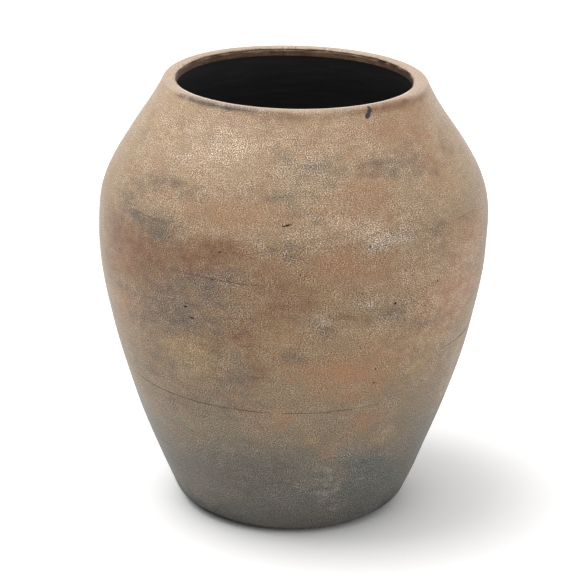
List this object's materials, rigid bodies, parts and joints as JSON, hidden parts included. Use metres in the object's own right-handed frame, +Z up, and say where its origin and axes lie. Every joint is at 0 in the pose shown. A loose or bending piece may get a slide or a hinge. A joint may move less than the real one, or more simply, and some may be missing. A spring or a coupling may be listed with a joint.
{
  "type": "pithos storage jar",
  "caption": "Wide-mouthed fired-clay storage jar with a narrow flat base, a swelling shoulder and a rounded lip, sealed black inside, that stands on a floor and holds goods or a planting.",
  "frame": {"origin": "centre of the flat face that the jar rests on", "axes": "+Z up along the jar's axis to the mouth; -Y towards the picture's camera"},
  "size_m": [0.46, 0.46, 0.522],
  "materials": {
    "fired_clay": "matte, smoke-clouded earthenware with a fine sandy grain",
    "black_sealer": "brushed, dull satin black"
  },
  "bodies": {
    "root": {"base_slab": "fired_clay", "corner_coil": "fired_clay", "foot_drum": "fired_clay", "lower_belt_coil": "fired_clay", "belly_drum": "fired_clay", "upper_belt_coil": "fired_clay", "shoulder_drum": "fired_clay", "lip_ring": "fired_clay", "sealing_coat": "black_sealer"}
  },
  "joints": []
}
